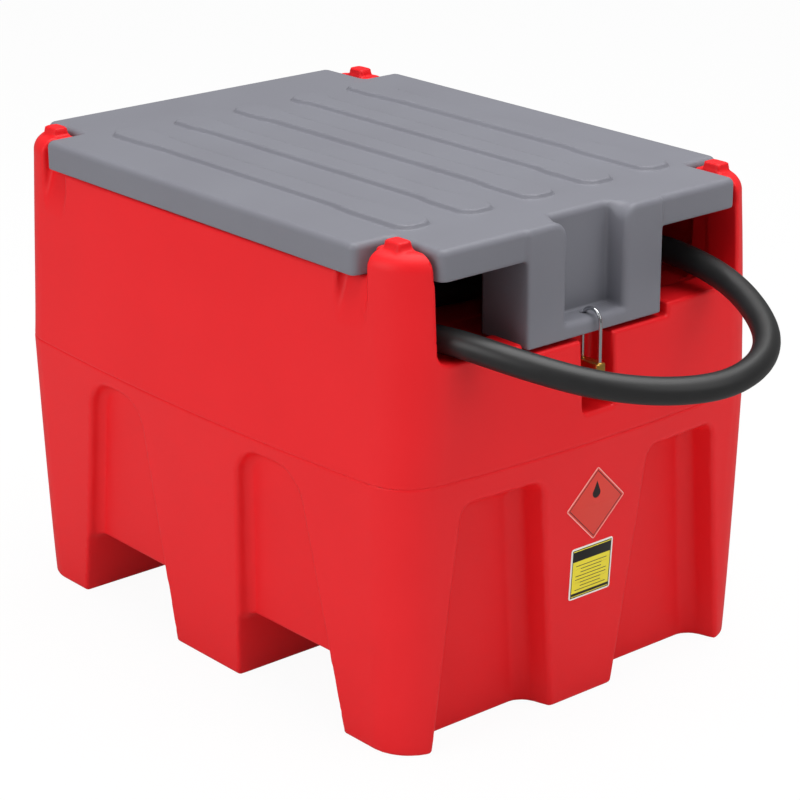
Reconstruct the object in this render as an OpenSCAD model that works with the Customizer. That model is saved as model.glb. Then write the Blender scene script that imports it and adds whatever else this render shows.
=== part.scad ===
// Portable fuel transfer tank: moulded tank on three runners, hinged lid, pump bay with hose
// Frame: X across, Y along the tank, front at -Y, Z up from the ground

/* [Tank moulding] */
// Width of the tank at the parting line
seam_w = 598; // [560:1:640]
// Length of the tank at the parting line
seam_l = 785; // [740:1:840]
// Height of the parting line above the ground
seam_z = 330; // [310:1:350]
// Width of the tank at the ground
base_w = 551; // [530:1:590]
// Length of the tank at the ground
base_l = 740; // [700:1:780]
// Width of the tank at the rim under the lid
rim_w = 564; // [540:1:600]
// Length of the tank at the rim under the lid
rim_l = 757; // [720:1:800]
// Height of the rim that the lid lies on
rim_z = 558; // [540:1:580]
// Radius of the upright corners at the ground
corner_r = 52; // [30:1:70]
// Radius of the upright corners at the parting line
seam_corner_r = 98; // [40:1:110]
// Underside of the tank between the runners
belly_z = 85; // [60:1:110]
// Thickness of the hollow side walls round the pump bay
side_wall_t = 25; // [18:1:35]
// Thickness of the hollow rear wall round the pump bay
rear_wall_t = 30; // [20:1:45]
// Thickness of the hollow front wall under the hose mouths
front_wall_t = 52; // [50:1:60]
// Wall of the moulding
skin_t = 8; // [5:1:12]

/* [Runners and recesses] */
// Length of the middle runner at the ground
mid_runner_l = 130; // [100:1:160]
// How much the middle runner grows in length for each mm of height
mid_flare = 0.104; // [0.05:0.01:0.15]
// Length of an end runner at the ground
end_runner_l = 108; // [95:1:125]
// How much the end runners grow inwards for each mm of height
end_flare = 0.187; // [0.1:0.01:0.22]
// Top of the recesses in the long sides
side_recess_top = 312; // [290:1:320]
// Depth of the recesses in the long sides
side_recess_d = 17; // [10:1:22]
// Radius of the upper corners of the side recesses
side_recess_r = 38; // [15:1:45]
// Top of the recesses in the ends
end_recess_top = 303; // [280:1:315]
// Depth of the recesses in the ends
end_recess_d = 40; // [25:1:45]
// Radius of the upper corners of the end recesses
end_recess_r = 16; // [8:1:30]
// Distance from the middle to the inner edge of an end recess at the ground
end_recess_x0 = 50; // [40:1:60]
// Distance from the middle to the outer edge of an end recess at the ground
end_recess_x1 = 232; // [215:1:240]
// How much an end recess narrows on each side for each mm of height
end_recess_taper = 0.112; // [0.06:0.01:0.15]
// How much the side walls of a recess lean in for each mm of depth
recess_draft = 0.3; // [0.1:0.05:0.5]

/* [Pump bay] */
// Floor of the pump bay
deck_z = 452; // [440:1:458]
// Sill of the two hose mouths
sill_z = 467; // [460:1:480]
// Width of the low part of the sill under the tongue
notch_w = 226; // [215:1:240]
// Height of the low part of the sill
notch_z = 452; // [445:1:454]
// Width of the padlock slot in the front wall
slot_w = 50; // [40:1:60]
// Bottom of the padlock slot
slot_z = 366; // [350:1:380]
// Depth of the padlock slot, from the front of the tongue
slot_d = 33.2; // [29:0.2:36]

/* [Corner posts] */
// Size of a post along the width
post_w = 50; // [46:1:54]
// Size of a post along the length
post_l = 76; // [70:1:84]
// Top of the posts
post_top = 590; // [585:1:594]
// Radius of the upright corners at the rim
post_corner_r = 74; // [40:1:90]
// Radius of a post's inner edge
post_edge_r = 6; // [3:1:7]
// How far the rounded top draws in on the outer sides
dome_out = 20; // [15:1:26]
// How far the rounded top draws in on the inner sides
dome_in = 3; // [1:1:4]
// Width of a stacking lug on a post
lug_w = 20; // [16:1:20]
// Length of a lug, from front to rear
lug_l = 25; // [20:1:30]
// Radius of the lug's corners
lug_r = 4; // [2:1:8]
// Height of the lug over the post
lug_h = 10; // [6:1:12]
// Distance from the post's outer side to the middle of its lug, across
lug_in_x = 37; // [35:1:38]
// Distance from the post's outer side to the middle of its lug, along
lug_in_y = 50; // [44:0.5:54]

/* [Lid] */
// Top of the lid
lid_top = 594; // [592:1:600]
// Gap between the lid and the corner posts
lid_gap = 5; // [5:1:8]
// Thickness of the lid's top
lid_t = 8; // [6:1:12]
// Thickness of the lid's skirt
skirt_t = 14; // [10:1:20]
// Clearance under the lid where it lies on the rim
seat = 0.3; // [0.2:0.1:0.6]
// Number of raised ribs
rib_count = 5; // [3:1:5]
// Distance from rib to rib
rib_pitch = 95; // [85:1:96]
// Width of a rib
rib_w = 44; // [30:1:54]
// Length of a rib
rib_l = 550; // [480:1:560]
// Height of a rib over the lid
rib_h = 5; // [3:1:6]
// Width of the tongue over the padlock slot
tongue_w = 208; // [190:1:212]
// Bottom of the tongue
tongue_z = 457; // [456:1:462]
// Thickness of the tongue from front to back
tongue_d = 78; // [70:1:90]
// How far the tongue stands in front of the lid
tongue_out = 3; // [1:1:6]
// Width of the padlock pocket
pocket_w = 90; // [78:1:100]
// Depth of the padlock pocket
pocket_d = 32; // [28:1:38]
// Floor of the padlock pocket
pocket_z = 475; // [472:1:480]

/* [Hinges] */
// Distance from hinge to hinge
hinge_pitch = 300; // [240:1:340]
// Width of a hinge
hinge_w = 60; // [45:3:75]
// Radius of the hinge knuckles
knuckle_r = 6; // [5:0.5:7]
// Radius of the hinge pins
pin_r = 2.5; // [2:0.1:3]
// Clearance between pin and knuckle
pin_gap = 0.15; // [0.1:0.05:0.25]
// Thickness of the hinge leaves
leaf_t = 2.5; // [2:0.1:3]
// Height of a hinge leaf
leaf_h = 24; // [18:1:26]
// Gap between the hinge knuckles and the rim
hinge_gap = 1.5; // [1:0.5:3]
// Height of the hinge axis over the rim
hinge_rise = 4; // [3:0.5:6]

/* [Padlock] */
// Width of the padlock body
lock_w = 36; // [32:1:36]
// Thickness of the padlock body
lock_t = 14; // [10:1:18]
// Height of the padlock body
lock_h = 33; // [28:1:36]
// Top of the padlock body
lock_z = 421; // [415:1:425]
// Radius of the padlock body's upright edges
lock_r = 3; // [1:0.5:5]
// Diameter of the shackle
shackle_d = 4.5; // [4:0.5:6]
// Distance between the shackle's legs
shackle_pitch = 28; // [26:1:30]
// Diameter of the shackle's hole in the tongue
shackle_hole = 9; // [8:0.5:12]

/* [Pump and fittings] */
// Radius of the pump motor
motor_r = 42; // [35:1:46]
// Length of the pump motor
motor_l = 120; // [100:1:130]
// Radius of the pump head
head_r = 46; // [44:1:50]
// Thickness of the pump head
head_t = 34; // [28:1:40]
// Height of the pump's axis over the deck
pump_h = 50; // [48:1:52]
// Width of the pump's foot
foot_w = 70; // [50:1:80]
// Height of the pump's foot
foot_h = 40; // [30:1:44]
// How far the motor stands out of its foot at each end
foot_in = 20; // [10:1:30]
// Radius of the suction pipe
pipe_r = 13; // [10:1:16]
// Distance from the pump head to the suction pipe
pipe_run = 30; // [20:1:34]
// Diameter of the delivery hose
hose_d = 31; // [28:1:33]
// How far the outlet's nut stands proud of the hose all round
nut_wall = 4; // [3:0.5:6]
// Length of the nut on the pump's outlet
nut_l = 14; // [8:1:20]
// Wall of the ferrule on the hose
ferrule_wall = 1; // [0.5:0.1:2]
// Length of the ferrule between the nut and the hose
ferrule_l = 16; // [10:1:22]
// Radius of the filler cap
cap_r = 40; // [30:1:46]
// Height of the filler cap
cap_h = 26; // [20:1:32]
// Radius of the nozzle's body
nozzle_r = 19; // [17:1:22]
// Length of the nozzle's body
nozzle_l = 110; // [90:1:130]
// Radius of the nozzle's spout
spout_r = 10; // [8:1:12]
// Length of the nozzle's spout
spout_l = 110; // [80:1:130]
// Length of the cradle under the nozzle
cradle_l = 24; // [16:1:40]
// Wall of the cradle beside the nozzle
cradle_wall = 3; // [2:0.5:5]
// Clearance between the cradle and the bay's wall
cradle_gap = 18; // [10:1:24]

/* [Labels] */
// Side of the square plate that stands on its corner
diamond_w = 65; // [50:1:80]
// Height of the middle of the square plate
diamond_z = 251; // [240:1:260]
// Width of the rectangular plate
plate_w = 66; // [50:1:80]
// Height of the rectangular plate
plate_h = 66; // [50:1:80]
// Height of the middle of the rectangular plate
plate_z = 167; // [160:1:175]
// Thickness of the plates
label_t = 1.2; // [0.8:0.1:2]

/* [Hidden] */

red = "#DF2A2E";
grey = "#85868C";
black = "#232325";
steel = "#B9BCC0";
brass = "#C9A24B";

arc_steps = 6;
over = 1;
// Inner faces of the posts, as thick as named where the moulding is slimmest
post_x0 = min(rim_w, seam_w) / 2 - post_w;
post_y0 = min(rim_l, seam_l) / 2 - post_l;
lid_z = rim_z + seat;
hinge_y = rim_l / 2 + knuckle_r + hinge_gap;
hinge_z = lid_z + hinge_rise;
lug_x = rim_w / 2 - lug_in_x;
lug_y = rim_l / 2 - lug_in_y;
end_runner_y = base_l / 2 - end_runner_l;
lock_back = 7;
lock_y = lock_back - rim_l / 2 - tongue_out;
pump_x = 45;
pump_y = -85;
pump_z = deck_z + pump_h;
motor_x = pump_x - head_t - motor_l;
cap_x = -40;
cap_y = 70;
nozzle_x = round(half_w(deck_z) - side_wall_t - cradle_gap - cradle_wall - nozzle_r);
nozzle_y = 60;
nozzle_z = deck_z + 26;

// Half width and half length of the moulding at a height
function lerp(a, b, t) = a + (b - a) * t;
function half_w(z) = z < seam_z ? lerp(base_w, seam_w, z / seam_z) / 2
    : lerp(seam_w, rim_w, (z - seam_z) / (rim_z - seam_z)) / 2;
function half_l(z) = z < seam_z ? lerp(base_l, seam_l, z / seam_z) / 2
    : lerp(seam_l, rim_l, (z - seam_z) / (rim_z - seam_z)) / 2;

// Radius of the moulding's corners at a height
function corner(z) = z < seam_z ? lerp(corner_r, seam_corner_r, z / seam_z)
    : lerp(seam_corner_r, post_corner_r, (z - seam_z) / (rim_z - seam_z));

// Points of an arc, both ends included
function arc(c, r, a0, a1) = [for (i = [0 : arc_steps])
    c + r * [cos(lerp(a0, a1, i / arc_steps)), sin(lerp(a0, a1, i / arc_steps))]];

// Rectangle with rounded corners, from half sizes
function rounded(hx, hy, r) = concat(
    arc([hx - r, hy - r], r, 0, 90),
    arc([r - hx, hy - r], r, 90, 180),
    arc([r - hx, r - hy], r, 180, 270),
    arc([hx - r, r - hy], r, 270, 360));

// Solid between rings of as many points each
module skin(rings) {
    n = len(rings[0]);
    m = len(rings);
    sides = [for (k = [0 : m - 2], i = [0 : n - 1])
        [k * n + i, k * n + (i + 1) % n, (k + 1) * n + (i + 1) % n, (k + 1) * n + i]];
    faces = concat([[for (i = [0 : n - 1]) n - 1 - i]], sides, [[for (i = [0 : n - 1]) (m - 1) * n + i]]);
    turned = [for (f = faces) [for (i = [len(f) - 1 : -1 : 0]) f[i]]];
    polyhedron(points = [for (r = rings, p = r) p], faces = turned);
}

function ring(outline, z) = [for (p = outline) [p.x, p.y, z]];

// The moulding between two heights, made smaller all round by inset
module moulding(z0, z1, inset_x = 0, inset_y = 0) {
    levels = z0 < seam_z && z1 > seam_z ? [z0, seam_z, z1] : [z0, z1];
    skin([for (z = levels) ring(rounded(half_w(z) - inset_x, half_l(z) - inset_y, corner(z)), z)]);
}

// Outline of a recess: u runs along the wall, second value is the height
function recess_line(u0, u1, top, taper0, taper1, r, shrink) =
    let (z0 = -over, t = top - shrink, w0 = u0 + shrink, w1 = u1 - shrink,
         a = w0 + taper0 * t, b = w1 - taper1 * t)
    concat([[w0 + taper0 * z0, z0]], arc([a + r, t - r], r, 180, 90), arc([b - r, t - r], r, 90, 0),
        [[w1 - taper1 * z0, z0]]);

// Cutter for a recess in the -X wall or the -Y wall
module side_recess() {
    y0 = mid_runner_l / 2;
    y1 = end_runner_y;
    outer = recess_line(y0, y1, side_recess_top, mid_flare, end_flare, side_recess_r, -over);
    draft = side_recess_d * recess_draft;
    inner = recess_line(y0, y1, side_recess_top, mid_flare, end_flare, side_recess_r, draft);
    lean = (seam_w - base_w) / 2 / seam_z;
    skin([
        [for (p = inner) [side_recess_d - base_w / 2 - lean * p.y, p.x, p.y]],
        [for (p = outer) [-over - base_w / 2 - lean * p.y, p.x, p.y]]
    ]);
}

module end_recess() {
    outer = recess_line(end_recess_x0, end_recess_x1, end_recess_top,
        end_recess_taper, end_recess_taper, end_recess_r, -over);
    inner = recess_line(end_recess_x0, end_recess_x1, end_recess_top,
        end_recess_taper, end_recess_taper, end_recess_r, end_recess_d * recess_draft);
    lean = (seam_l - base_l) / 2 / seam_z;
    skin([
        [for (p = outer) [p.x, -over - base_l / 2 - lean * p.y, p.y]],
        [for (p = inner) [p.x, end_recess_d - base_l / 2 - lean * p.y, p.y]]
    ]);
}

module four_ways() {
    for (mx = [0, 1], my = [0, 1])
        mirror([mx, 0, 0])
            mirror([0, my, 0])
                children();
}

// The lower tank's hollow wall, open at the top and the bottom
module lower_wall() {
    difference() {
        moulding(belly_z, seam_z);
        four_ways() side_recess();
        four_ways() end_recess();
        moulding(belly_z - over, seam_z + over, side_recess_d + skin_t, end_recess_d + skin_t);
    }
}

// Everything between two leaning planes, a little inside the end walls, from x0 to x1
module between_ends(x0, x1) {
    inset = end_recess_d + 2 * skin_t;
    low = half_l(belly_z) - inset;
    top = half_l(seam_z) - inset;
    translate([x0, 0, 0])
        rotate([90, 0, 90])
            linear_extrude(x1 - x0)
                polygon([[-low, belly_z], [low, belly_z], [top, seam_z], [-top, seam_z]]);
}

module lower_left_wall() {
    color(red)
        intersection() {
            lower_wall();
            between_ends(-seam_w, 0);
        }
}

module lower_right_wall() {
    color(red)
        intersection() {
            lower_wall();
            between_ends(0, seam_w);
        }
}

// Half of the lower wall towards one end, outside the leaning planes
module lower_end_wall(y0) {
    color(red)
        intersection() {
            difference() {
                lower_wall();
                between_ends(-seam_w, seam_w);
            }
            translate([-seam_w, y0, 0])
                cube([2 * seam_w, seam_l, rim_z]);
        }
}

module lower_front_wall() {
    lower_end_wall(-seam_l);
}

module lower_rear_wall() {
    lower_end_wall(0);
}

module tank_bottom() {
    color(red)
        moulding(belly_z, belly_z + skin_t, side_recess_d + skin_t, end_recess_d + skin_t);
}

// Slice of the moulding below the belly, between two slanted faces
module runner(y0, y1, lean0, lean1) {
    top0 = y0 + lean0 * belly_z;
    top1 = y1 + lean1 * belly_z;
    color(red)
        difference() {
            intersection() {
                moulding(0, belly_z);
                rotate([90, 0, 90])
                    translate([0, 0, -seam_w / 2])
                        linear_extrude(seam_w)
                            polygon([[y0, 0], [y1, 0], [top1, belly_z], [top0, belly_z]]);
            }
            four_ways() end_recess();
        }
}

module front_runner() {
    runner(-seam_l, -end_runner_y, 0, end_flare);
}

module middle_runner() {
    runner(-mid_runner_l / 2, mid_runner_l / 2, -mid_flare, mid_flare);
}

module rear_runner() {
    runner(end_runner_y, seam_l, -end_flare, 0);
}

// Outline between the inner faces of the end walls or of the side walls, and its other half size
function bay_outline(z, to_ends, half) =
    let (c = min(max(z, seam_z), rim_z),
         x = to_ends ? half : half_w(c) - side_wall_t,
         y0 = to_ends ? front_wall_t - half_l(c) : -half,
         y1 = to_ends ? half_l(c) - rear_wall_t : half)
    [[x, y0], [x, y1], [-x, y1], [-x, y0]];

module bay(levels, to_ends, half) {
    skin([for (z = levels) ring(bay_outline(z, to_ends, half), z)]);
}

// Part of the hollow end walls or side walls over the parting line, inside a box
module upper_wall(to_ends, x0, x1, y0, y1, z1) {
    color(red)
        intersection() {
            difference() {
                moulding(seam_z, rim_z);
                bay([seam_z - over, seam_z, rim_z, rim_z + over], to_ends, seam_l);
            }
            translate([x0, y0, seam_z])
                cube([x1 - x0, y1 - y0, z1 - seam_z]);
        }
}

module left_wall() {
    upper_wall(false, -seam_w, 0, -post_y0, post_y0, rim_z);
}

module right_wall() {
    upper_wall(false, 0, seam_w, -post_y0, post_y0, rim_z);
}

module rear_wall() {
    upper_wall(true, -post_x0, post_x0, 0, seam_l, rim_z);
}

// Room for the padlock, open to the front and the top
module padlock_slot() {
    translate([-slot_w / 2, -seam_l, slot_z])
        cube([slot_w, seam_l + slot_d - rim_l / 2 - tongue_out, sill_z]);
}

module front_wall() {
    color(red)
        difference() {
            upper_wall(true, -post_x0, post_x0, -seam_l, 0, sill_z);
            translate([-notch_w / 2, -seam_l, notch_z])
                cube([notch_w, seam_l, sill_z]);
            padlock_slot();
        }
}

module bay_floor() {
    color(red)
        difference() {
            union() {
                bay([deck_z - skin_t, deck_z], true, post_x0);
                bay([deck_z - skin_t, deck_z], false, post_y0);
            }
            padlock_slot();
        }
}

// The moulding's outline at the rim, drawn in all round, as the posts' rounded tops are
function dome_outline(inset) = rounded(half_w(rim_z) - inset, half_l(rim_z) - inset, corner(rim_z) - inset);

// Outline of the column at -X -Y that the post fills, its inner faces drawn in
function column_outline(inset) =
    let (x = -post_x0 - inset, y = -post_y0 - inset, r = post_edge_r)
    concat([[-seam_w, -seam_l], [x, -seam_l]], arc([x - r, y - r], r, 0, 90), [[-seam_w, y]]);

module post() {
    dome_h = post_top - rim_z;
    angles = [for (i = [1 : arc_steps]) 90 * i / arc_steps];
    dome = [for (a = angles) ring(dome_outline(dome_out * (1 - cos(a))), rim_z + dome_h * sin(a))];
    intersection() {
        skin(concat([for (z = [seam_z, rim_z]) ring(rounded(half_w(z), half_l(z), corner(z)), z)], dome));
        skin([
            ring(column_outline(0), seam_z - over),
            ring(column_outline(0), rim_z),
            ring(column_outline(dome_in), post_top + over)
        ]);
    }
    translate([-lug_x, -lug_y, post_top - over])
        linear_extrude(lug_h + over)
            polygon(rounded(lug_w / 2, lug_l / 2, lug_r));
}

module front_left_post() {
    color(red) post();
}

module front_right_post() {
    color(red) mirror([1, 0, 0]) post();
}

module rear_left_post() {
    color(red) mirror([0, 1, 0]) post();
}

module rear_right_post() {
    color(red) mirror([1, 0, 0]) mirror([0, 1, 0]) post();
}

// Puts a plate on the leaning front face, its middle at a height
module on_front(z) {
    lean = atan((seam_l - base_l) / 2 / seam_z);
    translate([0, -half_l(z), z])
        rotate([90 + lean, 0, 0])
            children();
}

module hazard_plate() {
    color("#E2452F")
        on_front(diamond_z)
            rotate([0, 0, 45])
                translate([-diamond_w / 2, -diamond_w / 2, 0])
                    cube([diamond_w, diamond_w, label_t]);
}

module notice_plate() {
    color("#F2E33A")
        on_front(plate_z)
            translate([-plate_w / 2, -plate_h / 2, 0])
                cube([plate_w, plate_h, label_t]);
}

// Outline of the lid, notched round the posts
function lid_outline(inset) =
    let (hx = rim_w / 2 - inset, hy = rim_l / 2 - inset,
         nx = post_x0 - lid_gap - inset, ny = post_y0 - lid_gap - inset)
    [[hx, -ny], [hx, ny], [nx, ny], [nx, hy], [-nx, hy], [-nx, ny],
     [-hx, ny], [-hx, -ny], [-nx, -ny], [-nx, -hy], [nx, -hy], [nx, -ny]];

module lid_panel() {
    color(grey)
        difference() {
            translate([0, 0, lid_top - lid_t])
                linear_extrude(lid_t)
                    polygon(lid_outline(0));
            translate([-pocket_w / 2, -rim_l, lid_z])
                cube([pocket_w, rim_l / 2 + pocket_d - tongue_out, lid_top]);
        }
}

module lid_skirt() {
    skirt_h = lid_top - lid_t - lid_z;
    color(grey)
        translate([0, 0, lid_z])
            difference() {
                linear_extrude(skirt_h)
                    polygon(lid_outline(0));
                translate([0, 0, -over])
                    linear_extrude(skirt_h + 2 * over)
                        polygon(lid_outline(skirt_t));
                translate([-tongue_w / 2, -rim_l, -over])
                    cube([tongue_w, rim_l / 2 + tongue_d - tongue_out, skirt_h + 2 * over]);
            }
}

module rib(i) {
    color(grey)
        translate([(i - (rib_count + 1) / 2) * rib_pitch, 0, lid_top])
            linear_extrude(rib_h)
                polygon(rounded(rib_w / 2, rib_l / 2, rib_w / 2 - over));
}

module lid_rib_1() { rib(1); }
module lid_rib_2() { rib(2); }
module lid_rib_3() { rib(3); }
module lid_rib_4() { rib(4); }
module lid_rib_5() { rib(5); }

module lid_tongue() {
    front = -rim_l / 2 - tongue_out;
    color(grey)
        difference() {
            translate([-tongue_w / 2, front, tongue_z])
                cube([tongue_w, tongue_d, lid_top - lid_t - tongue_z]);
            translate([-pocket_w / 2, front - over, pocket_z])
                cube([pocket_w, pocket_d + over, lid_top]);
            translate([0, lock_y + shackle_pitch / 2, tongue_z - over])
                cylinder(h = pocket_z - tongue_z + 2 * over, d = shackle_hole, $fn = 24);
        }
}

module padlock_body() {
    color(brass)
        translate([0, lock_y, lock_z - lock_h])
            linear_extrude(lock_h)
                polygon(rounded(lock_t / 2, lock_w / 2, lock_r));
}

module padlock_shackle() {
    // Height of the bow's middle, where its inside hangs on the edge of the pocket floor
    bow_in = (shackle_pitch - shackle_d) / 2 - seat;
    edge = max((shackle_pitch - shackle_hole) / 2, lock_back);
    bow_z = pocket_z - sqrt(bow_in * bow_in - edge * edge);
    color(steel)
        translate([0, lock_y, 0]) {
            for (s = [-1, 1])
                translate([0, s * shackle_pitch / 2, lock_z])
                    cylinder(h = bow_z - lock_z, d = shackle_d, $fn = 16);
            translate([0, 0, bow_z])
                rotate([90, 0, 90])
                    rotate_extrude(angle = 180, $fn = 32)
                        translate([shackle_pitch / 2, 0])
                            circle(d = shackle_d, $fn = 16);
        }
}

// Hinges on the rear wall
module at_hinge(side) {
    translate([side * hinge_pitch / 2, hinge_y, hinge_z])
        children();
}

module knuckle(x0, x1) {
    translate([x0, 0, 0])
        rotate([0, 90, 0])
            cylinder(h = x1 - x0, r = knuckle_r, $fn = 32);
}

module pin_bore() {
    translate([-hinge_w, 0, 0])
        rotate([0, 90, 0])
            cylinder(h = 2 * hinge_w, r = pin_r + pin_gap, $fn = 32);
}

module hinge_base(side) {
    inner = hinge_w / 6 + seat;
    low = hinge_z - leaf_h;
    profile = [[half_l(low), low], [half_l(low) + leaf_t, low], [hinge_y, hinge_z - knuckle_r],
        [hinge_y, hinge_z], [hinge_y - leaf_t, hinge_z], [half_l(rim_z) + seat, rim_z]];
    color(steel)
        difference() {
            for (s = [-1, 1])
                translate([side * hinge_pitch / 2 + (s > 0 ? inner : -hinge_w / 2), 0, 0]) {
                    translate([0, hinge_y, hinge_z])
                        knuckle(0, hinge_w / 2 - inner);
                    rotate([90, 0, 90])
                        linear_extrude(hinge_w / 2 - inner)
                            polygon(profile);
                }
            at_hinge(side)
                pin_bore();
        }
}

module left_hinge_base() { hinge_base(-1); }
module right_hinge_base() { hinge_base(1); }

module hinge_pin(side) {
    color(steel)
        at_hinge(side)
            translate([-hinge_w / 2, 0, 0])
                rotate([0, 90, 0])
                    cylinder(h = hinge_w, r = pin_r, $fn = 32);
}

module left_hinge_pin() { hinge_pin(-1); }
module right_hinge_pin() { hinge_pin(1); }

module lid_leaf(side) {
    third = hinge_w / 6;
    color(steel)
        at_hinge(side)
            difference() {
                union() {
                    knuckle(-third, third);
                    translate([-third, rim_l / 2 - hinge_y, 0])
                        cube([2 * third, knuckle_r + hinge_gap, leaf_h]);
                }
                pin_bore();
            }
}

module lid_left_leaf() { lid_leaf(-1); }
module lid_right_leaf() { lid_leaf(1); }

// Pump lying across the bay
module pump_motor() {
    color(black)
        translate([motor_x, pump_y, pump_z])
            rotate([0, 90, 0])
                cylinder(h = motor_l, r = motor_r, $fn = 48);
}

module pump_head() {
    color("#3A3C40")
        translate([pump_x - head_t, pump_y, pump_z])
            rotate([0, 90, 0])
                cylinder(h = head_t, r = head_r, $fn = 48);
}

module pump_foot() {
    color(steel)
        difference() {
            translate([motor_x + foot_in, pump_y - foot_w / 2, deck_z])
                cube([motor_l - 2 * foot_in, foot_w, foot_h]);
            translate([motor_x - over, pump_y, pump_z])
                rotate([0, 90, 0])
                    cylinder(h = motor_l + 2 * over, r = motor_r, $fn = 48);
        }
}

module outlet_fitting() {
    color(brass)
        translate([pump_x, pump_y, pump_z])
            rotate([0, 90, 0]) {
                cylinder(h = nut_l, r = hose_d / 2 + nut_wall, $fn = 6);
                translate([0, 0, nut_l])
                    cylinder(h = ferrule_l, r = hose_d / 2 + ferrule_wall, $fn = 32);
            }
}

module suction_pipe() {
    color(black)
        translate([pump_x - head_t / 2, pump_y + head_r + pipe_run, deck_z]) {
            cylinder(h = pump_h + pipe_r, r = pipe_r, $fn = 32);
            translate([0, 0, pump_h])
                rotate([90, 0, 0])
                    cylinder(h = pipe_run, r = pipe_r, $fn = 32);
        }
}

module filler_cap() {
    color(black)
        translate([cap_x, cap_y, deck_z])
            cylinder(h = cap_h, r = cap_r, $fn = 48);
}

module nozzle_body() {
    color(black)
        translate([nozzle_x, nozzle_y, nozzle_z])
            rotate([90, 0, 0])
                cylinder(h = nozzle_l, r = nozzle_r, $fn = 32);
}

module nozzle_spout() {
    color(steel)
        translate([nozzle_x, nozzle_y - nozzle_l, nozzle_z])
            rotate([90, 0, 0])
                cylinder(h = spout_l, r = spout_r, $fn = 32);
}

module nozzle_cradle() {
    color(black)
        difference() {
            translate([nozzle_x - nozzle_r - cradle_wall, nozzle_y - (nozzle_l + cradle_l) / 2, deck_z])
                cube([2 * (nozzle_r + cradle_wall), cradle_l, nozzle_z - deck_z]);
            translate([nozzle_x, nozzle_y + over, nozzle_z])
                rotate([90, 0, 0])
                    cylinder(h = nozzle_l, r = nozzle_r + seat, $fn = 32);
        }
}

// Delivery hose, from the pump round the bay, out in a loop and back to the nozzle
hose_route = [
    [75, -85, 502], [118, -76, 498], [150, -42, 487], [165, 15, 473], [165, 80, 469],
    [150, 140, 469], [105, 187, 469], [45, 205, 469], [-40, 205, 469], [-100, 188, 469],
    [-148, 145, 469], [-165, 85, 469], [-165, -60, 469], [-150, -120, 469], [-105, -170, 469],
    [-45, -192, 469], [25, -198, 473], [90, -212, 483], [145, -246, 497], [173, -300, 504],
    [179, -365, 498], [167, -435, 488], [137, -503, 473], [105, -543, 461], [63, -567, 451],
    [7, -573, 444], [-60, -552, 446], [-124, -509, 457], [-173, -443, 474], [-202, -368, 486],
    [-218, -285, 482], [-235, -80, 468], [-235, 200, 468], [-222, 262, 468], [-185, 305, 468],
    [-130, 325, 468], [100, 325, 468], [170, 306, 469], [213, 250, 473], [225, 60, 478]
];

function unit(v) = v / norm(v);
function tangent(i) =
    let (n = len(hose_route), a = hose_route[max(i - 1, 0)], b = hose_route[min(i + 1, n - 1)])
    unit(b - a);

module hose() {
    sides = 12;
    rings = [for (i = [0 : len(hose_route) - 1])
        let (t = i == 0 ? [1, 0, 0] : i == len(hose_route) - 1 ? [0, -1, 0] : tangent(i),
             s = unit(cross(t, [0, 0, 1])), u = cross(s, t))
        [for (k = [0 : sides - 1])
            hose_route[i] + hose_d / 2 * (cos(360 * k / sides) * s + sin(360 * k / sides) * u)]];
    color(black)
        skin(rings);
}

front_runner();
middle_runner();
rear_runner();
tank_bottom();
lower_left_wall();
lower_right_wall();
lower_front_wall();
lower_rear_wall();
left_wall();
right_wall();
rear_wall();
front_wall();
bay_floor();
front_left_post();
front_right_post();
rear_left_post();
rear_right_post();
hazard_plate();
notice_plate();
left_hinge_base();
right_hinge_base();
left_hinge_pin();
right_hinge_pin();
pump_head();
pump_motor();
pump_foot();
outlet_fitting();
suction_pipe();
filler_cap();
nozzle_body();
nozzle_spout();
nozzle_cradle();
hose();
lid_panel();
lid_skirt();
lid_rib_1();
lid_rib_2();
lid_rib_3();
lid_rib_4();
lid_rib_5();
lid_tongue();
lid_left_leaf();
lid_right_leaf();
padlock_body();
padlock_shackle();
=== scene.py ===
import math

import bmesh
import bpy
import numpy as np
from mathutils import Matrix, Vector


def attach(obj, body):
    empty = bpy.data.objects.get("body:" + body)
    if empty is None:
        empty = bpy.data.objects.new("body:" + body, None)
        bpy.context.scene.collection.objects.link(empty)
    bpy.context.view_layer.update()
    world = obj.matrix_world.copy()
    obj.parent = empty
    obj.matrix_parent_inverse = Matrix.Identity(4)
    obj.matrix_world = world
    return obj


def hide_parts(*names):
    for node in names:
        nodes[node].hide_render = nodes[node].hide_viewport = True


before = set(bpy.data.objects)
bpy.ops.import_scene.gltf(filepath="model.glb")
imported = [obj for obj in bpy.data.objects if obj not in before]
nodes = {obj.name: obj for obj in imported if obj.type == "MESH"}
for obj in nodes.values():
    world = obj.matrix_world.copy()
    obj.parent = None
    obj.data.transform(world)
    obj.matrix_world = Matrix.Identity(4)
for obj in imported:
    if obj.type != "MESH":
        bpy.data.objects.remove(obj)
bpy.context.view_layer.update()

mm = 0.001
scene = bpy.context.scene
print("frame loaded:", len(nodes), "nodes")


# sRGB hex to linear colour: c/12.92 in the darks, ((c + 0.055)/1.055)^2.4 above
def linear(hexColour):
    c = np.array([int(hexColour[i:i + 2], 16) for i in (1, 3, 5)]) / 255
    c = np.where(c <= 0.04045, c / 12.92, ((c + 0.055) / 1.055) ** 2.4)
    return (float(c[0]), float(c[1]), float(c[2]), 1.0)


# Camera: where the photograph was taken from, found from the tank's own edges
view = {"place": (-1958.6, -2355.7, 1388.4), "yaw": 40.235, "pitch": 20.06, "roll": 0.269,
        "lens": 117.31, "sensor": 36}


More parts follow.
